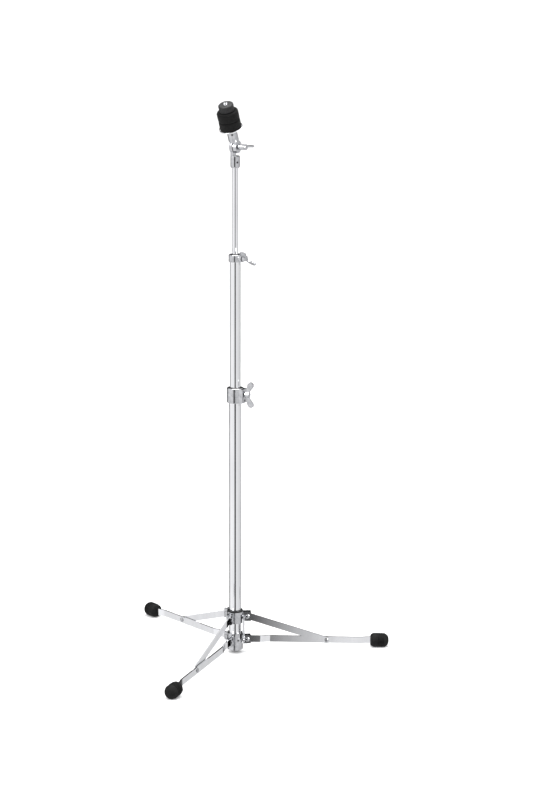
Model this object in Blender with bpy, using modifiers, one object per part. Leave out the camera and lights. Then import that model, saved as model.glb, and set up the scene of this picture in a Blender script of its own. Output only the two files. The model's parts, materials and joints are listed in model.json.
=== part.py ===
"""Cymbal stand: folding tripod of flat straps, two telescoping stages, tilter and cymbal seat.

Lengths below are millimetres and are scaled to metres when the meshes are made.
The tube axis is vertical at (AXIS_X, AXIS_Y); the floor is z = 0.
Leg frames use r (outward), t (counter-clockwise seen from above) and z (up).
"""
import math

import bmesh
import bpy
from mathutils import Matrix

for ob in list(bpy.data.objects):
    bpy.data.objects.remove(ob, do_unlink=True)

MM = 0.001
DETAIL = 0.58    # share of each turned shape's full facet count

# ---- driving dimensions (mm, degrees) ----
AXIS_X, AXIS_Y = -54.105, 15.312
LEG_AZ = (4.85, 124.85, -115.15)
GAP = 0.3

BASE_R, BASE_WALL = 11.1, 1.2
MID_R, MID_WALL = 9.55, 1.2
ROD_R = 5.3
BASE_Z0, BASE_Z1 = 8.0, 480.0
MID_Z0, MID_Z1 = 250.0, 727.0
ROD_Z0, ROD_Z1 = 540.0, 905.0

HUB_Z0, HUB_Z1, HUB_R = 6.0, 37.0, 14.0
PIVOT_R, PIVOT_Z = 22.0, 24.3
COL_Z0, COL_Z1, COL_R = 57.0, 78.0, 15.0
UP_R, UP_Z = 22.0, 68.2
RIV_R, RIV_Z = 168.6, 17.0
STRAP_T, STRAP_H = 3.0, 6.0
JOG = 4.0
JOG_FOOT = 7.6
LEG_LEN = 250.0
FOOT_X0, FOOT_LEN, FOOT_RAD = 230.3, 33.4, 13.1

LATCH_AZ, LATCH_R, LATCH_ZT, LATCH_ZB = -29.0, 17.2, 67.0, 25.0
HUB_SCREW_AZ = -58.0

MC_Z0, MC_Z1, MC_AZ, MC_BOLT_Z = 469.0, 496.0, -28.0, 485.0
TC_Z0, TC_Z1, TC_AZ, TC_BOLT_Z, TC_ROLL = 723.6, 736.4, -38.0, 731.6, 35.0
TILT_Z, TILT_AZ, TILT = 927.0, -28.0, 25.0
DISC_R = 11.0

FELT_R, NUT_R, WASH_R = 19.0, 13.5, 21.0


def collection(name):
    c = bpy.data.collections.new(name)
    bpy.context.scene.collection.children.link(c)
    return c


PARTS = collection("cymbal_stand")
CUTTERS = collection("cutters")


def facets(seg):
    """Even facet count for a turned shape of this size."""
    return max(12, 2 * round(seg * DETAIL / 2))


def material(name, rgb, metallic, roughness):
    m = bpy.data.materials.new(name)
    m.use_nodes = True
    b = m.node_tree.nodes["Principled BSDF"]
    b.inputs["Base Color"].default_value = (*rgb, 1.0)
    b.inputs["Metallic"].default_value = metallic
    b.inputs["Roughness"].default_value = roughness
    m.diffuse_color = (*rgb, 1.0)
    return m


CHROME = material("chrome", (0.78, 0.79, 0.80), 1.0, 0.08)
STEEL = material("steel", (0.60, 0.60, 0.61), 1.0, 0.28)
BLACK = material("black_plastic", (0.02, 0.02, 0.02), 0.0, 0.45)
RUBBER = material("rubber", (0.015, 0.015, 0.015), 0.0, 0.7)
FELT = material("felt", (0.012, 0.012, 0.012), 0.0, 0.95)


def T(x, y, z):
    return Matrix.Translation((x * MM, y * MM, z * MM))


def R(deg, axis):
    return Matrix.Rotation(math.radians(deg), 4, axis)


AXIS = T(AXIS_X, AXIS_Y, 0)
TO_X = R(90, "Y")    # local z points along +x
TO_Y = R(-90, "X")   # local z points along +y


def place(name, mesh, mat, mw, cutter):
    ob = bpy.data.objects.new(name, mesh)
    (CUTTERS if cutter else PARTS).objects.link(ob)
    ob.matrix_world = mw
    if cutter:
        ob.hide_render = True
        ob.display_type = "WIRE"
    else:
        mesh.materials.append(mat)
    return ob


def lathe(name, prof, mat=None, mw=Matrix(), seg=32, closed=False, cutter=False):
    me = bpy.data.meshes.new(name)
    n = len(prof)
    edges = [(i, i + 1) for i in range(n - 1)] + ([(n - 1, 0)] if closed else [])
    me.from_pydata([(r * MM, 0.0, z * MM) for r, z in prof], edges, [])
    ob = place(name, me, mat, mw, cutter)
    s = ob.modifiers.new("turn", "SCREW")
    s.axis = "Z"
    s.angle = 2 * math.pi
    s.screw_offset = 0.0
    s.steps = facets(seg)
    s.render_steps = facets(seg)
    s.use_merge_vertices = True
    s.merge_threshold = 0.00001
    s.use_smooth_shade = False
    return ob


def ring(name, r0, r1, z0, z1, mat, mw=None, seg=32):
    """Plain tube between radii r0 < r1 and heights z0 < z1."""
    return lathe(name, [(r1, z1), (r1, z0), (r0, z0), (r0, z1)], mat,
                 AXIS if mw is None else mw, seg, closed=True)


def solids(name, items, mat=None, mw=Matrix(), cutter=True):
    """One mesh of several boxes and cylinders: ('box', m, sx, sy, sz) or ('cyl', m, r, length, seg)."""
    bm = bmesh.new()
    for it in items:
        if it[0] == "box":
            sc = Matrix.Diagonal((it[2] * MM, it[3] * MM, it[4] * MM, 1.0))
            bmesh.ops.create_cube(bm, size=1.0, matrix=it[1] @ sc)
        else:
            bmesh.ops.create_cone(bm, cap_ends=True, segments=facets(it[4]), radius1=it[2] * MM,
                                  radius2=it[2] * MM, depth=it[3] * MM, matrix=it[1])
    me = bpy.data.meshes.new(name)
    bm.to_mesh(me)
    bm.free()
    return place(name, me, mat, mw, cutter)


def span(x0, x1, y0, y1, z0, z1, m=Matrix()):
    return ("box", m @ T((x0 + x1) / 2, (y0 + y1) / 2, (z0 + z1) / 2), x1 - x0, y1 - y0, z1 - z0)


def strip(name, stations, th, mat=None, mw=Matrix(), cutter=False):
    """Flat bar lofted through stations (x, y centre, z centre, half height)."""
    bm = bmesh.new()
    rows = []
    for x, yo, zc, h in stations:
        rows.append([bm.verts.new((x * MM, (yo + sy * th / 2) * MM, (zc + sz * h) * MM))
                     for sy, sz in ((-1, -1), (1, -1), (1, 1), (-1, 1))])
    for a, b in zip(rows, rows[1:]):
        for i in range(4):
            j = (i + 1) % 4
            bm.faces.new((a[i], a[j], b[j], b[i]))
    bm.faces.new(rows[0][::-1])
    bm.faces.new(rows[-1])
    bmesh.ops.recalc_face_normals(bm, faces=bm.faces[:])
    me = bpy.data.meshes.new(name)
    bm.to_mesh(me)
    bm.free()
    return place(name, me, mat, mw, cutter)


def boolean(ob, other, op="DIFFERENCE"):
    b = ob.modifiers.new(op.lower(), "BOOLEAN")
    b.operation = op
    b.object = other
    b.solver = "EXACT"
    return ob


def ease(u):
    u = min(1.0, max(0.0, u))
    return u * u * (3 - 2 * u)


def jog(x):
    return JOG * ease((x - 24) / 18.5) + (JOG_FOOT - JOG) * ease((x - 205) / 22)


def round_end(x0, sign, h, steps=6):
    """Stations of a half-round end about x0; sign -1 opens it towards -x, +1 towards +x."""
    out = []
    for k in range(steps):
        a = math.radians(12 + 78 * k / steps)
        out.append((x0 + sign * h * math.cos(a), h * math.sin(a)))
    return out if sign < 0 else out[::-1]


# ---- frames ----
def leg_frame(i):
    return AXIS @ R(LEG_AZ[i], "Z")


slope = math.degrees(math.atan2(PIVOT_Z - RIV_Z, RIV_R - PIVOT_R))
leg_a = math.hypot(RIV_R - PIVOT_R, PIVOT_Z - RIV_Z)
brace_slope = math.degrees(math.atan2(UP_Z - RIV_Z, RIV_R - UP_R))
brace_b = math.hypot(RIV_R - UP_R, UP_Z - RIV_Z)

# ---- base ----
ring("base_tube", BASE_R - BASE_WALL, BASE_R, BASE_Z0, BASE_Z1, CHROME, seg=48)
lathe("tube_foot_plug", [(0, 18), (8.4, 18), (9.6, 16.8), (9.6, 7.7), (11, 7.7), (11, 6.2), (0, 6.2)],
      BLACK, AXIS, 32)


def clevis_body(name, r_out, z0, z1, piv_z, ear_h, ear_r):
    body = ring(name, BASE_R + GAP, r_out, z0, z1, CHROME, seg=48)
    ears, slots, holes = [], [], []
    for i in range(3):
        m = R(LEG_AZ[i], "Z")
        ears.append(span(r_out - 1.6, ear_r, -4.8, 4.8, piv_z - ear_h / 2, piv_z + ear_h / 2, m))
        slots.append(span(r_out + 0.4, ear_r + 4, -1.8, 1.8, piv_z - ear_h, piv_z + ear_h, m))
        holes.append(("cyl", m @ T(PIVOT_R, 0, piv_z) @ TO_Y, 2.8, 14.0, 20))
    boolean(body, solids(name + "_ears", ears, mw=AXIS), "UNION")
    boolean(body, solids(name + "_slots", slots, mw=AXIS))
    boolean(body, solids(name + "_holes", holes, mw=AXIS))
    return body


hub = clevis_body("lower_hub", HUB_R, HUB_Z0, HUB_Z1, PIVOT_Z, 16.0, 28.5)
hub_latch = R(LATCH_AZ, "Z") @ T(15, 0, LATCH_ZB) @ TO_X
hub_scr = R(HUB_SCREW_AZ, "Z") @ T(15, 0, PIVOT_Z) @ TO_X
boolean(hub, solids("hub_radial_holes", [("cyl", hub_latch, 2.3, 12, 20), ("cyl", hub_scr, 2.3, 12, 20)], mw=AXIS))
# headed studs: radial fasteners, profile z is the radius from the tube axis
lathe("latch_stud", [(0, 19.9), (2.4, 19.7), (3.2, 19.0), (3.2, 18.4), (2.0, 18.4), (2.0, 11.6), (0, 11.6)],
      STEEL, AXIS @ R(LATCH_AZ, "Z") @ T(0, 0, LATCH_ZB) @ TO_X, 20)
lathe("hub_screw", [(0, 16.6), (2.2, 16.3), (3.6, 15.2), (3.6, 14.3), (2.0, 14.3), (2.0, 11.6), (0, 11.6)],
      STEEL, AXIS @ R(HUB_SCREW_AZ, "Z") @ T(0, 0, PIVOT_Z) @ TO_X, 20)


def rivet_profile(half, shank, head_r, head_h):
    top = [(0, half + head_h), (head_r * 0.6, half + head_h * 0.88), (head_r, half + head_h * 0.35), (head_r, half)]
    return top + [(shank, half), (shank, -half)] + [(r, -z) for r, z in reversed(top)]


for i in range(3):
    lathe("leg_pivot_pin_%d" % (i + 1), rivet_profile(5.0, 2.5, 4.2, 1.7), STEEL,
          leg_frame(i) @ T(PIVOT_R, 0, PIVOT_Z) @ TO_Y, 20)

# ---- sliding collar ----
collar = clevis_body("slide_collar", COL_R, COL_Z0, COL_Z1, UP_Z, 18.0, 29.0)
boolean(collar, solids("collar_latch_hole", [("cyl", R(LATCH_AZ, "Z") @ T(15, 0, LATCH_ZT) @ TO_X, 2.3, 12, 20)], mw=AXIS))
ring("collar_bush", BASE_R + GAP, 14.2, COL_Z1 + GAP, COL_Z1 + 2.6, BLACK, seg=48)
for i in range(3):
    lathe("brace_pivot_pin_%d" % (i + 1), rivet_profile(5.0, 2.5, 4.2, 1.7), STEEL,
          leg_frame(i) @ T(UP_R, 0, UP_Z) @ TO_Y, 20)

# latch link: flat bar on a radial pin, notch at its lower end open to one side
link_frame = AXIS @ R(LATCH_AZ, "Z") @ T(LATCH_R, 0, LATCH_ZT) @ TO_X
link_len = LATCH_ZT - LATCH_ZB
link = strip("latch_link", [(-5, 0, 0, 0.8), (link_len + 5.5, 0, 0, 0.8)], 7.4, CHROME, link_frame)
boolean(link, solids("latch_link_holes", [
    ("cyl", T(0, 0, 0), 2.4, 6, 20), ("cyl", T(link_len, 0, 0), 2.4, 6, 20)], mw=link_frame))
boolean(link, solids("latch_link_notch", [span(link_len - 2.3, link_len + 2.3, 0, 8, -3, 3)], mw=link_frame))
lathe("latch_pin", [(0, 19.9), (2.4, 19.7), (3.4, 19.0), (3.4, 18.4), (2.0, 18.4), (2.0, 11.7), (0, 11.7)],
      STEEL, AXIS @ R(LATCH_AZ, "Z") @ T(0, 0, LATCH_ZT) @ TO_X, 20)

# ---- legs, braces, rivets and feet ----
for i in range(3):
    n = i + 1
    lf = leg_frame(i) @ T(PIVOT_R, 0, PIVOT_Z) @ R(slope, "Y")
    st = [(x, 0.0, 0.0, h) for x, h in round_end(0, -1, STRAP_H)]
    st += [(0, 0, 0, STRAP_H), (24, 0, 0, STRAP_H)]
    st += [(24 + 18.5 * k / 6, jog(24 + 18.5 * k / 6), 0, STRAP_H) for k in range(1, 7)]
    st += [(205, jog(205), 0, STRAP_H)]
    st += [(205 + 22 * k / 6, jog(205 + 22 * k / 6), 0, STRAP_H) for k in range(1, 7)]
    st += [(LEG_LEN, JOG_FOOT, 0, STRAP_H)]
    leg = strip("leg_strap_%d" % n, st, STRAP_T, CHROME, lf)
    boolean(leg, solids("leg_%d_holes" % n, [("cyl", TO_Y, 2.8, 12, 20),
            ("cyl", T(leg_a, JOG, 0) @ TO_Y, 2.8, 8, 20)], mw=lf))
    lathe("leg_rivet_%d" % n, [(0, 7.3), (2.5, 7.1), (4.2, 6.3), (4.2, 5.8), (2.5, 5.8), (2.5, 2.45), (0, 2.45)],
          STEEL, lf @ T(leg_a, 0, 0) @ TO_Y, 20)

    bf = leg_frame(i) @ T(UP_R, 0, UP_Z) @ R(brace_slope, "Y")
    st = [(x, 0.0, 0.0, h) for x, h in round_end(0, -1, STRAP_H)]
    st += [(0, 0, 0, STRAP_H), (brace_b, 0, 0, STRAP_H)]
    st += [(x, 0.0, 0.0, h) for x, h in round_end(brace_b, 1, STRAP_H)]
    brace = strip("brace_strap_%d" % n, st, STRAP_T, CHROME, bf)
    boolean(brace, solids("brace_%d_holes" % n, [("cyl", TO_Y, 2.8, 12, 20),
            ("cyl", T(brace_b, 0, 0) @ TO_Y, 2.8, 8, 20)], mw=bf))
    lathe("brace_rivet_%d" % n, [(0, 3.3), (2.5, 3.1), (4.2, 2.3), (4.2, 1.8), (2.5, 1.8), (2.5, -1.55), (0, -1.55)],
          STEEL, bf @ T(brace_b, 0, 0) @ R(90, "X"), 20)

    foot = lathe("rubber_foot_%d" % n, [(0, FOOT_LEN), (6, FOOT_LEN - 0.8), (10, FOOT_LEN - 3.4), (12.2, FOOT_LEN - 7.5),
                 (FOOT_RAD, FOOT_LEN - 13), (FOOT_RAD, 9), (12.2, 3), (10.6, 0), (0, 0)],
                 RUBBER, lf @ T(FOOT_X0, JOG_FOOT, 0) @ TO_X, 32)
    boolean(foot, solids("foot_%d_pocket" % n, [span(FOOT_X0 - 4, LEG_LEN + 0.6, JOG_FOOT - 1.8, JOG_FOOT + 1.8,
                                                     -6.3, 6.3)], mw=lf))
    boolean(foot, solids("foot_%d_floor" % n, [span(200, 340, -60, 60, -40, 0)], mw=leg_frame(i)))


# ---- wing bolts ----
def wing_bolt(name, tip, hub0, hub1, shank_r, mw, span_half=23.0):
    """Bolt along local z: shank from tip to hub0, round hub to hub1, two swept wings along local x."""
    bolt = lathe(name, [(0, hub1), (4.0, hub1), (5.0, hub1 - 1.0), (5.6, hub0 + 0.8), (5.0, hub0), (shank_r, hub0),
                        (shank_r, tip + 0.8), (shank_r - 0.8, tip), (0, tip)], STEEL, mw, 24)
    st = []
    count = 16
    for k in range(count + 1):
        s = -span_half + 2 * span_half * k / count
        u = abs(s) / span_half
        grow = 3.0 + 3.2 * ease((u - 0.25) / 0.45)
        tipcut = math.sqrt(max(0.03, 1 - max(0.0, (u - 0.76) / 0.25) ** 2))
        st.append((s, 0, (hub0 + hub1) / 2 + 6.5 * ease(u * 1.1), grow * tipcut))
    wings = strip(name + "_wings", st, 3.0, mw=mw, cutter=True)
    boolean(bolt, wings, "UNION")
    return bolt


# ---- mid clamp collar ----
mc = leg_frame(0) @ R(MC_AZ - LEG_AZ[0], "Z")
mid = lathe("mid_collar", [(14.2, MC_Z1), (15.0, MC_Z1 - 0.8), (15.0, MC_Z0 + 0.8), (14.2, MC_Z0), (BASE_R + GAP, MC_Z0),
            (BASE_R + GAP, MC_Z1)], CHROME, AXIS, 48, closed=True)
boolean(mid, solids("mid_collar_block", [
    span(12.2, 19.5, -8.5, 8.5, MC_Z0 + 1.0, MC_Z1 - 1.0)], mw=mc), "UNION")
mid_set_z = MC_Z0 + 5.0
boolean(mid, solids("mid_collar_holes", [
    ("cyl", T(16, 0, MC_BOLT_Z) @ TO_X, 3.3, 16, 24), ("cyl", T(16, 0, mid_set_z) @ TO_X, 2.3, 16, 20)], mw=mc))
bush = ring("mid_bush", MID_R + GAP, BASE_R, BASE_Z1 + 0.4, MC_Z1 + 1.0, BLACK, seg=48)
boolean(bush, solids("mid_bush_hole", [("cyl", T(12, 0, MC_BOLT_Z) @ TO_X, 3.3, 10, 24)], mw=mc))
wing_bolt("mid_wing_bolt", MID_R + 0.3, 21.0, 29.0, 3.0, mc @ T(0, 0, MC_BOLT_Z) @ TO_X)
lathe("mid_set_screw", [(0, 19.8), (1.6, 19.8), (2.0, 19.4), (2.0, 11.5), (0, 11.5)], BLACK,
      mc @ T(0, 0, mid_set_z) @ TO_X, 20)

# ---- middle tube and its glide plug ----
ring("middle_tube", MID_R - MID_WALL, MID_R, MID_Z0, MID_Z1, CHROME, seg=48)
lathe("middle_tube_plug", [(0, MID_Z0 + 12), (7.4, MID_Z0 + 12), (8.0, MID_Z0 + 11), (8.0, MID_Z0 - GAP),
      (9.6, MID_Z0 - GAP), (9.6, MID_Z0 - 3), (0, MID_Z0 - 3)], BLACK, AXIS, 32)

# ---- top clamp collar ----
tc = AXIS @ R(TC_AZ, "Z")
top = lathe("top_collar", [(11.0, TC_Z1), (11.6, TC_Z1 - 0.6), (11.6, TC_Z0 + 0.6), (11.0, TC_Z0), (MID_R + GAP, TC_Z0),
            (MID_R + GAP, TC_Z1)], CHROME, AXIS, 48, closed=True)
boolean(top, solids("top_collar_lug", [("cyl", T(13.6, 0, (TC_Z0 + TC_Z1) / 2) @ TO_X, 5.9, 6.0, 32)], mw=tc), "UNION")
boolean(top, solids("top_collar_hole", [("cyl", T(13, 0, TC_BOLT_Z) @ TO_X, 2.8, 14, 24),
                                        ("cyl", R(150, "Z") @ T(13, 0, TC_Z0 + 2.0) @ TO_X, 1.3, 12, 16)], mw=tc))
tb = lathe("top_bush", [(9.4, TC_Z1 + 0.8), (9.4, MID_Z1 + GAP), (8.05, MID_Z1 + GAP), (8.05, MID_Z1 - 14),
           (ROD_R + GAP, MID_Z1 - 14), (ROD_R + GAP, TC_Z1 + 0.8)], BLACK, AXIS, 40, closed=True)
boolean(tb, solids("top_bush_hole", [("cyl", T(8, 0, TC_BOLT_Z) @ TO_X, 2.8, 10, 24)], mw=tc))
wing_bolt("top_wing_bolt", ROD_R + 0.3, 18.0, 25.5, 2.5, tc @ T(0, 0, TC_BOLT_Z) @ TO_X @ R(90 - TC_ROLL, "Z"))
lathe("top_set_screw", [(0, 12.2), (1.0, 12.2), (1.0, MID_R + 0.4), (0, MID_R + 0.4)], BLACK,
      tc @ R(150, "Z") @ T(0, 0, TC_Z0 + 2.0) @ TO_X, 16)

# ---- upper rod and its glide plug ----
lathe("upper_rod", [(0, ROD_Z1), (ROD_R - 0.5, ROD_Z1), (ROD_R, ROD_Z1 - 0.5), (ROD_R, ROD_Z0), (0, ROD_Z0)],
      CHROME, AXIS, 40)
lathe("upper_rod_plug", [(0, ROD_Z0 - GAP), (7.4, ROD_Z0 - GAP), (8.0, ROD_Z0 - 1), (8.0, ROD_Z0 - 7),
      (7.4, ROD_Z0 - 8), (0, ROD_Z0 - 8)], BLACK, AXIS, 32)

# ---- tilter ----
t0 = AXIS @ R(TILT_AZ, "Z") @ T(0, 0, TILT_Z)     # x is the tilt axis
t1 = t0 @ R(TILT, "X")                            # leaning frame, z is along the cymbal rod
sock = lathe("tilter_socket", [(0, -16), (7.6, -16), (8.35, -17), (8.35, -35), (6.6, -37), (0, -37)], CHROME, t0, 40)
boolean(sock, solids("socket_web", [span(-6.5, -1.1, -6.0, 6.0, -18.5, 0)], mw=t0), "UNION")
boolean(sock, solids("socket_disc", [("cyl", T(-3.8, 0, 0) @ TO_X, DISC_R, 6.0, 40)], mw=t0), "UNION")
boolean(sock, solids("socket_bore", [("cyl", T(0, 0, -30), ROD_R + GAP, 17, 40)], mw=t0))
boolean(sock, solids("socket_bolt_hole", [("cyl", TO_X, 3.3, 24, 24),
                                          ("cyl", R(-34, "Z") @ T(8, 0, -27) @ TO_X, 1.9, 8, 16)], mw=t0))
lathe("tilter_cross_pin", [(0, 8.9), (1.2, 8.9), (1.6, 8.5), (1.6, 5.7), (0, 5.7)], BLACK,
      t0 @ R(-34, "Z") @ T(0, 0, -27) @ TO_X, 16)
lathe("tilter_washer", [(9.0, 0.5), (9.0, -0.5), (3.4, -0.5), (3.4, 0.5)], BLACK, t0 @ TO_X, 32, closed=True)

head = lathe("tilter_head", [(0, 35.7), (8.2, 35.7), (8.8, 35.0), (9.1, 13.0), (8.4, 12.2), (0, 12.2)], CHROME, t1, 40)
boolean(head, solids("head_web", [span(1.1, 6.5, -6.0, 6.0, 0, 15)], mw=t1), "UNION")
boolean(head, solids("head_disc", [("cyl", T(3.8, 0, 0) @ TO_X, DISC_R, 6.0, 40)], mw=t1), "UNION")
boolean(head, solids("head_bore", [("cyl", T(0, 0, 28), 4.3, 16, 32)], mw=t1))
boolean(head, solids("head_bolt_hole", [("cyl", TO_X, 3.3, 24, 24),
                                        ("cyl", R(-62, "Z") @ T(8, 0, 28) @ TO_X, 1.8, 8, 16)], mw=t1))
lathe("neck_set_screw", [(0, 9.2), (1.2, 9.2), (1.5, 8.9), (1.5, 4.4), (0, 4.4)], BLACK,
      t1 @ R(-62, "Z") @ T(0, 0, 28) @ TO_X, 16)
wing_bolt("tilter_wing_bolt", -10.5, 7.2, 23.0, 3.0, t0 @ TO_X @ R(90, "Z"))

# ---- cymbal seat, on the leaning axis ----
lathe("cymbal_rod", [(0, 89), (3.2, 89), (4.0, 88.2), (4.0, 20.4), (0, 20.4)], STEEL, t1, 32)
lathe("cup_washer", [(20.2, 38.8), (WASH_R, 38.4), (WASH_R, 37.4), (20.0, 36.3), (8, 36.0), (4.4, 36.0), (4.4, 37.5),
      (19.6, 37.6)], CHROME, t1, 48, closed=True)
ring("cymbal_sleeve", 4.35, 6.0, 37.9, 70.8, BLACK, t1, 32)


def felt(name, z0, z1):
    c = 1.6
    lathe(name, [(FELT_R - c, z1), (FELT_R - 0.4, z1 - 0.5), (FELT_R, z1 - c), (FELT_R, z0 + c), (FELT_R - 0.4, z0 + 0.5),
          (FELT_R - c, z0), (6.3, z0), (6.3, z1)], FELT, t1, 40, closed=True)


felt("lower_felt", 38.0, 54.2)
felt("upper_felt", 54.6, 70.9)
lathe("cymbal_nut", [(11.0, 84.4), (12.8, 83.6), (NUT_R, 81.8), (NUT_R, 74.0), (12.8, 72.2), (11.0, 71.4), (4.4, 71.4),
      (4.4, 84.4)], BLACK, t1, 32, closed=True)

bpy.context.view_layer.update()
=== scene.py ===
import json
import math

import bmesh
import bpy
from mathutils import Matrix, Vector, noise


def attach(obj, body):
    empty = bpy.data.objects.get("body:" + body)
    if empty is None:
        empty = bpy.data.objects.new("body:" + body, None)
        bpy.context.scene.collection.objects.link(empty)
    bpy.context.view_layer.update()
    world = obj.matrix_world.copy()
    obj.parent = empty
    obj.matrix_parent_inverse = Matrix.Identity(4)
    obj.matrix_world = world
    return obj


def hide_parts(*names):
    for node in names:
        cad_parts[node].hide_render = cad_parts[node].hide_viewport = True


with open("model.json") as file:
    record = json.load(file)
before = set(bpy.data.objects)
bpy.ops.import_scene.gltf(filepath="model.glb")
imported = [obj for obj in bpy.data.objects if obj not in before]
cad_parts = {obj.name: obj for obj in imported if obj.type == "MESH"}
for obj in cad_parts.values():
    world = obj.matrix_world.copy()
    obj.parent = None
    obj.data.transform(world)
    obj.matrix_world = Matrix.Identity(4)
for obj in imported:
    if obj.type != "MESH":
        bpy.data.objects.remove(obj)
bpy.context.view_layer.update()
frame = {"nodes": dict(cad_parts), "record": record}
nodes = frame["nodes"]
scene = bpy.context.scene

MM = 0.001
AX, AY = -54.105, 15.312


def T(x, y, z):
    return Matrix.Translation((x * MM, y * MM, z * MM))


def R(deg, axis):
    return Matrix.Rotation(math.radians(deg), 4, axis)


AXIS = T(AX, AY, 0)
TO_X = R(90, "Y")
TO_Y = R(-90, "X")
LEG_AZ = (4.85, 124.85, -115.15)
PIVOT_R, PIVOT_Z, UP_R, UP_Z, RIV_R, RIV_Z = 22.0, 24.3, 22.0, 68.2, 168.6, 17.0
SLOPE = math.degrees(math.atan2(PIVOT_Z - RIV_Z, RIV_R - PIVOT_R))
T0 = AXIS @ R(-28, "Z") @ T(0, 0, 927)
T1 = T0 @ R(25, "X")


# ---------------------------------------------------------------- materials
def new_material(name):
    m = bpy.data.materials.new(name)
    m.use_nodes = True
    nt = m.node_tree
    return m, nt, nt.nodes["Principled BSDF"]


def tex_noise(nt, scale, detail=3.0, rough=0.5, stretch=None):
    co = nt.nodes.new("ShaderNodeTexCoord")
    n = nt.nodes.new("ShaderNodeTexNoise")
    n.inputs["Scale"].default_value = scale
    n.inputs["Detail"].default_value = detail
    n.inputs["Roughness"].default_value = rough
    if stretch:
        mp = nt.nodes.new("ShaderNodeMapping")
        mp.inputs["Scale"].default_value = stretch
        nt.links.new(co.outputs["Object"], mp.inputs["Vector"])
        nt.links.new(mp.outputs["Vector"], n.inputs["Vector"])
    else:
        nt.links.new(co.outputs["Object"], n.inputs["Vector"])
    return n


def ramp(nt, src, stops):
    r = nt.nodes.new("ShaderNodeValToRGB")
    els = r.color_ramp.elements
    while len(els) < len(stops):
        els.new(0.5)
    for e, (p, c) in zip(els, stops):
        e.position = p
        e.color = (*c, 1.0)
    nt.links.new(src, r.inputs["Fac"])
    return r


def add_bump(nt, b, src, strength, distance):
    bp = nt.nodes.new("ShaderNodeBump")
    bp.inputs["Strength"].default_value = strength
    bp.inputs["Distance"].default_value = distance
    nt.links.new(src, bp.inputs["Height"])
    nt.links.new(bp.outputs["Normal"], b.inputs["Normal"])


def metal(name, c0, c1, r0, r1, scale, stretch=None, bump=0.0):
    m, nt, b = new_material(name)
    b.inputs["Metallic"].default_value = 1.0
    n = tex_noise(nt, scale, 4.0, 0.55, stretch)
    c = ramp(nt, n.outputs["Fac"], [(0.3, c0), (0.7, c1)])
    nt.links.new(c.outputs["Color"], b.inputs["Base Color"])
    mr = nt.nodes.new("ShaderNodeMapRange")
    mr.inputs["To Min"].default_value = r0
    mr.inputs["To Max"].default_value = r1
    nt.links.new(n.outputs["Fac"], mr.inputs["Value"])
    nt.links.new(mr.outputs["Result"], b.inputs["Roughness"])
    if bump:
        n2 = tex_noise(nt, scale * 6, 2.0)
        add_bump(nt, b, n2.outputs["Fac"], bump, 0.0002)
    return m


CHROME = metal("mirror_chrome", (0.86, 0.865, 0.88), (0.92, 0.925, 0.935), 0.02, 0.055, 60, (1, 1, 0.2))
CAST = metal("cast_chrome", (0.52, 0.525, 0.54), (0.66, 0.665, 0.68), 0.05, 0.12, 140, None, 0.05)
FAST = metal("plated_steel", (0.50, 0.505, 0.52), (0.64, 0.645, 0.66), 0.08, 0.16, 220, None, 0.05)


def plastic(name, c0, c1, r0, r1, scale, bump, spec=0.3):
    m, nt, b = new_material(name)
    n = tex_noise(nt, scale, 5.0, 0.6)
    c = ramp(nt, n.outputs["Fac"], [(0.35, c0), (0.7, c1)])
    nt.links.new(c.outputs["Color"], b.inputs["Base Color"])
    mr = nt.nodes.new("ShaderNodeMapRange")
    mr.inputs["To Min"].default_value = r0
    mr.inputs["To Max"].default_value = r1
    nt.links.new(n.outputs["Fac"], mr.inputs["Value"])
    nt.links.new(mr.outputs["Result"], b.inputs["Roughness"])
    n2 = tex_noise(nt, scale * 4, 3.0)
    add_bump(nt, b, n2.outputs["Fac"], bump, 0.0003)
    b.inputs["Specular IOR Level"].default_value = spec
    return m


BLACK = plastic("black_moulding", (0.008, 0.008, 0.008), (0.02, 0.02, 0.021), 0.32, 0.5, 400, 0.12)
RUBBER = plastic("black_rubber", (0.003, 0.003, 0.003), (0.009, 0.009, 0.009), 0.5, 0.7, 500, 0.35, 0.16)
BLACK_STEEL = plastic("black_oxide", (0.006, 0.006, 0.007), (0.02, 0.02, 0.022), 0.25, 0.4, 600, 0.1)

FELT, nt, b = new_material("black_felt")
n = tex_noise(nt, 1400, 6.0, 0.75)
c = ramp(nt, n.outputs["Fac"], [(0.3, (0.002, 0.002, 0.002)), (0.62, (0.007, 0.007, 0.007)), (0.85, (0.02, 0.02, 0.021))])
nt.links.new(c.outputs["Color"], b.inputs["Base Color"])
b.inputs["Roughness"].default_value = 0.95
b.inputs["Specular IOR Level"].default_value = 0.08
b.inputs["Sheen Weight"].default_value = 0.04
b.inputs["Sheen Roughness"].default_value = 0.6
add_bump(nt, b, n.outputs["Fac"], 0.7, 0.0006)

BY_SLOT = {"chrome": CHROME, "fastener_steel": FAST, "black_steel": BLACK_STEEL, "black_plastic": BLACK,
           "rubber": RUBBER, "felt": FELT}
CASTINGS = ("lower_hub", "slide_collar", "mid_collar", "top_collar", "tilter_socket", "tilter_head")
for sub in frame["record"]["subparts"]:
    ob = nodes[sub["node"]]
    mat = CAST if sub["node"] in CASTINGS else BY_SLOT[sub["material_slot"]]
    ob.data.materials.clear()
    ob.data.materials.append(mat)


# ---------------------------------------------------------------- mesh tools
def finish_mesh(name, bm, mat, mw, body, replaces=(), smooth_angle=35):
    bmesh.ops.remove_doubles(bm, verts=bm.verts[:], dist=1e-6)
    bmesh.ops.recalc_face_normals(bm, faces=bm.faces[:])
    me = bpy.data.meshes.new(name)
    bm.to_mesh(me)
    bm.free()
    me.transform(mw)
    me.materials.append(mat)
    me.shade_smooth()
    me.set_sharp_from_angle(angle=math.radians(smooth_angle))
    ob = bpy.data.objects.new(name, me)
    scene.collection.objects.link(ob)
    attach(ob, body)
    if replaces:
        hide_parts(*replaces)
    return ob


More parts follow.
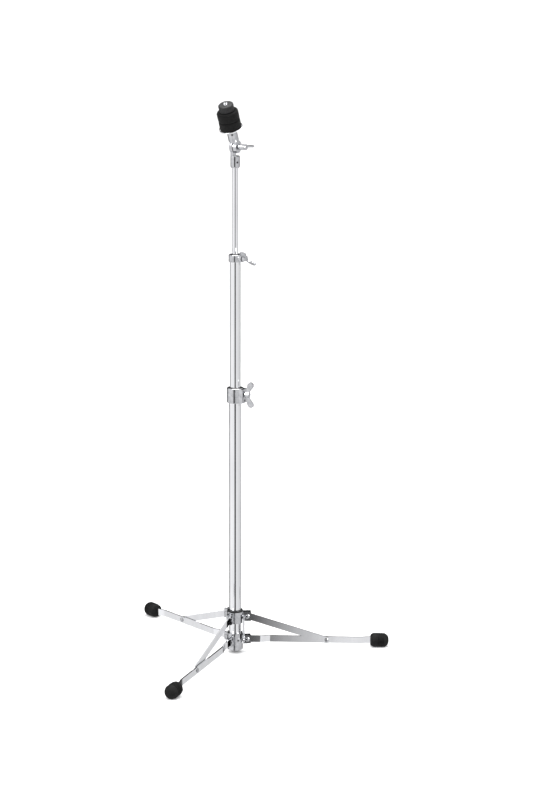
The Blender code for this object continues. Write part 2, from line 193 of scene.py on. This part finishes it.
def revolve(prof, seg, closed=False, wobble=None):
    """Turned mesh from (radius, height) points in mm."""
    bm = bmesh.new()
    rows = []
    for r, z in prof:
        if r < 1e-6:
            rows.append([bm.verts.new((0, 0, z * MM))])
            continue
        row = []
        for k in range(seg):
            a = 2 * math.pi * k / seg
            rr = r if wobble is None else wobble(r, a, z)
            row.append(bm.verts.new((rr * math.cos(a) * MM, rr * math.sin(a) * MM, z * MM)))
        rows.append(row)
    pairs = list(zip(rows, rows[1:])) + ([(rows[-1], rows[0])] if closed else [])
    for p, q in pairs:
        for k in range(seg):
            j = (k + 1) % seg
            if len(p) == 1 and len(q) == 1:
                continue
            if len(p) == 1:
                bm.faces.new((p[0], q[k], q[j]))
            elif len(q) == 1:
                bm.faces.new((p[k], p[j], q[0]))
            else:
                bm.faces.new((p[k], p[j], q[j], q[k]))
    return bm


def arc(cx, cz, r, a0, a1, n):
    return [(cx + r * math.cos(math.radians(a0 + (a1 - a0) * k / n)),
             cz + r * math.sin(math.radians(a0 + (a1 - a0) * k / n))) for k in range(n + 1)]


def ring_profile(r0, r1, z0, z1, c=0.4):
    """Tube section with small rounded outer edges."""
    return (arc(r1 - c, z1 - c, c, 90, 0, 4) + arc(r1 - c, z0 + c, c, 0, -90, 4)
            + [(r0, z0), (r0, z1)])


def turned(name, prof, seg, mat, mw, body, node, closed=False, wobble=None, angle=35):
    return finish_mesh(name, revolve(prof, seg, closed, wobble), mat, mw, body, (node,), angle)


# ---------------------------------------------------------------- tubes
turned("base_tube_skin", ring_profile(9.9, 11.1, 8, 480, 0.4), 128, CHROME, AXIS, "base", "base_tube", True)
turned("middle_tube_skin", ring_profile(8.35, 9.55, 250, 727, 0.4), 128, CHROME, AXIS, "middle_stage",
       "middle_tube", True)
turned("upper_rod_skin", [(0, 905)] + arc(4.6, 904.3, 0.7, 90, 0, 4) + arc(4.6, 540.7, 0.7, 0, -90, 4) + [(0, 540)], 96,
       CHROME, AXIS, "upper_stage", "upper_rod")

# ---------------------------------------------------------------- rubber feet, ribbed near the outer third
FOOT_X0, FOOT_L, JOGF = 230.3, 33.4, 7.6


def foot_profile():
    pts = [(0, 0.0), (10.0, 0.0), (10.6, 0.5), (12.2, 3), (12.8, 6), (13.0, 9)]
    for k in range(4):
        z = 11.2 + 3.1 * k
        pts += [(13.1, z), (12.1, z + 0.45), (12.1, z + 1.15), (13.1, z + 1.6)]
    pts += [(13.1, 23.6), (12.8, 25.0), (12.2, 26.6), (11.3, 28.3), (10.0, 30.1), (8.2, 31.6), (5.8, 32.7), (3, 33.2), (0, 33.4)]
    return pts


for i in range(3):
    n = i + 1
    lf = AXIS @ R(LEG_AZ[i], "Z") @ T(PIVOT_R, 0, PIVOT_Z) @ R(SLOPE, "Y") @ T(FOOT_X0, JOGF, 0) @ TO_X
    bm = revolve(foot_profile(), 96)
    for v in bm.verts:
        w = lf @ v.co
        if w.z < 0.0:
            w.z = 0.0
            v.co = lf.inverted() @ w
    finish_mesh("foot_skin_%d" % n, bm, RUBBER, lf, "leg_%d" % n, ("rubber_foot_%d" % n,), 40)


# ---------------------------------------------------------------- felts, nut, washer, threaded rod
def fuzz(r, a, z):
    return r + 0.22 * noise.noise(Vector((math.cos(a) * 14, math.sin(a) * 14, z * 0.9)))


def felt_profile(z0, z1, r=19.0, c=2.6):
    side = [(r, z1 - c - (z1 - z0 - 2 * c) * k / 6) for k in range(1, 6)]
    return arc(r - c, z1 - c, c, 90, 0, 6) + side + arc(r - c, z0 + c, c, 0, -90, 6) + [(6.3, z0), (6.3, z1)]


lf1 = turned("lower_felt_skin", felt_profile(38.0, 54.3), 120, FELT, T1, "tilter", "lower_felt", True, fuzz, 60)
uf1 = turned("upper_felt_skin", felt_profile(54.5, 70.9), 120, FELT, T1, "felt", "upper_felt", True, fuzz, 60)


def knurl(r, a, z):
    return r - (0.35 * (0.5 + 0.5 * math.cos(24 * a)) if r > 13.0 and 73.6 < z < 82.2 else 0.0)


turned("cymbal_nut_skin", arc(11.2, 82.1, 2.3, 90, 0, 6) + [(13.5, 80), (13.5, 78), (13.5, 76)]
       + arc(11.2, 73.7, 2.3, 0, -90, 6) + [(4.4, 71.4), (4.4, 84.4)], 144, BLACK, T1, "nut", "cymbal_nut",
       True, knurl, 50)
turned("cup_washer_skin", arc(20.5, 38.3, 0.5, 90, -10, 4) + [(20.6, 36.9), (19.8, 36.3), (18.5, 36.05), (8, 36), (4.4, 36.0),
       (4.4, 37.5), (19.4, 37.6), (20.1, 38.2)], 128, CHROME, T1, "tilter", "cup_washer", True)


def threaded(name, r, pitch, z0, z1, depth, mat, mw, body, node, seg=48):
    """Rod along z whose surface carries one helical thread."""
    bm = bmesh.new()
    step = pitch / 6
    count = int((z1 - z0) / step)
    rows = []
    for k in range(count + 1):
        z = z0 + (z1 - z0) * k / count
        row = []
        for s in range(seg):
            a = 2 * math.pi * s / seg
            ph = ((z / pitch) - a / (2 * math.pi)) % 1.0
            tooth = 1 - abs(2 * ph - 1)
            fade = min(1.0, (z1 - z) / 1.2)
            rr = r - depth * (1 - tooth) - (1 - fade) * depth
            row.append(bm.verts.new((rr * math.cos(a) * MM, rr * math.sin(a) * MM, z * MM)))
        rows.append(row)
    for p, q in zip(rows, rows[1:]):
        for s in range(seg):
            j = (s + 1) % seg
            bm.faces.new((p[s], p[j], q[j], q[s]))
    bm.faces.new(rows[0][::-1])
    bm.faces.new(rows[-1])
    return finish_mesh(name, bm, mat, mw, body, (node,), 60)


threaded("cymbal_rod_skin", 4.0, 1.25, 20.4, 89.0, 0.55, FAST, T1, "tilter", "cymbal_rod")

# ---------------------------------------------------------------- carried-over nodes: bevelled edges
for name, ob in nodes.items():
    if ob.hide_render:
        continue
    bv = ob.modifiers.new("edge", "BEVEL")
    bv.width = 0.00035
    bv.segments = 2
    bv.limit_method = "ANGLE"
    bv.angle_limit = math.radians(38)
    bv.harden_normals = False

# ---------------------------------------------------------------- camera
CAM = Vector((AX * MM, AY * MM - 4.0, 1.356))
PITCH = math.radians(12.45)
cam = bpy.data.cameras.new("camera")
cam_ob = bpy.data.objects.new("camera", cam)
scene.collection.objects.link(cam_ob)
cam_ob.location = CAM
cam_ob.rotation_euler = (math.radians(90) - PITCH, 0, 0)
F_PX = 2285.0
cam.sensor_width = 36.0
cam.lens = F_PX * 36.0 / 800.0
cam.shift_x = (266.5 - 235.2) / 800.0
cam.clip_end = 100
scene.camera = cam_ob

# ---------------------------------------------------------------- stage and light
floor_mesh = bpy.data.meshes.new("floor")
bm = bmesh.new()
rows = []
for y, z in [(-8, 0)] + [(3.0 + 2.0 * math.sin(a), 2.0 - 2.0 * math.cos(a)) for a in
                         [math.radians(90 * k / 16) for k in range(17)]] + [(5.0, 8.0)]:
    rows.append([bm.verts.new((x, y, z - 0.0004)) for x in (-9, 9)])
for p, q in zip(rows, rows[1:]):
    bm.faces.new((p[0], p[1], q[1], q[0]))
bm.to_mesh(floor_mesh)
bm.free()
floor_mesh.shade_smooth()
floor = bpy.data.objects.new("studio_floor", floor_mesh)
scene.collection.objects.link(floor)
fm, nt, b = new_material("floor_white")
b.inputs["Base Color"].default_value = (0.93, 0.93, 0.93, 1)
b.inputs["Roughness"].default_value = 0.9
floor_mesh.materials.append(fm)


floor.visible_glossy = False

# Studio surround: pale panels left and right, a dark gap behind the camera and greyer panels behind the object.
world = bpy.data.worlds.new("studio")
scene.world = world
world.use_nodes = True
wt = world.node_tree
bg = wt.nodes["Background"]
bg.inputs["Strength"].default_value = 1.0
co = wt.nodes.new("ShaderNodeTexCoord")
sep = wt.nodes.new("ShaderNodeSeparateXYZ")
wt.links.new(co.outputs["Generated"], sep.inputs["Vector"])


def wmath(op, a, b=None):
    n = wt.nodes.new("ShaderNodeMath")
    n.operation = op
    for sock, v in zip(n.inputs, (a, b)):
        if v is None:
            continue
        if isinstance(v, (int, float)):
            sock.default_value = v
        else:
            wt.links.new(v, sock)
    return n.outputs[0]


azimuth = wmath("ARCTAN2", sep.outputs["X"], wmath("MULTIPLY", sep.outputs["Y"], -1.0))
turn = wmath("ADD", wmath("MULTIPLY", azimuth, 0.5 / math.pi), 0.5)
wr = wt.nodes.new("ShaderNodeValToRGB")
STOPS = [(0.0, 0.05), (0.10, 0.08), (0.15, 0.34), (0.178, 0.80), (0.26, 1.0), (0.40, 0.92), (0.458, 1.0), (0.4645, 0.0),
         (0.5309, 0.0), (0.5315, 0.86), (0.60, 0.84), (0.74, 0.74), (0.80, 0.66), (0.868, 0.70), (0.90, 0.10), (1.0, 0.05)]
els = wr.color_ramp.elements
while len(els) < len(STOPS):
    els.new(0.5)
for e, (pos, v) in zip(els, STOPS):
    e.position = pos
    e.color = (v, v, v * 1.015, 1.0)
wt.links.new(turn, wr.inputs["Fac"])
high = wt.nodes.new("ShaderNodeMapRange")
high.inputs["From Min"].default_value = 0.45
high.inputs["From Max"].default_value = 0.85
wt.links.new(wmath("ABSOLUTE", sep.outputs["Z"]), high.inputs["Value"])
mixw = wt.nodes.new("ShaderNodeMix")
mixw.data_type = "RGBA"
wt.links.new(high.outputs["Result"], mixw.inputs["Factor"])
wt.links.new(wr.outputs["Color"], mixw.inputs["A"])
mixw.inputs["B"].default_value = (0.95, 0.95, 0.96, 1.0)
wt.links.new(mixw.outputs["Result"], bg.inputs["Color"])


def area(name, loc, look, size, energy):
    ld = bpy.data.lights.new(name, "AREA")
    ld.specular_factor = 0.15
    ld.shape = "RECTANGLE"
    ld.size, ld.size_y = size
    ld.energy = energy
    ob = bpy.data.objects.new(name, ld)
    ob.location = loc
    ob.rotation_euler = (Vector(loc) - Vector(look)).to_track_quat("Z", "Y").to_euler()
    scene.collection.objects.link(ob)


area("key", (-2.6, -2.4, 2.8), (0, 0, 0.5), (1.6, 2.4), 110)
area("fill", (2.8, -2.0, 2.2), (0, 0, 0.5), (1.4, 2.2), 70)
area("top", (0, 0.3, 3.4), (0, 0, 0.4), (2.5, 2.5), 90)
scene.view_settings.view_transform = "Standard"
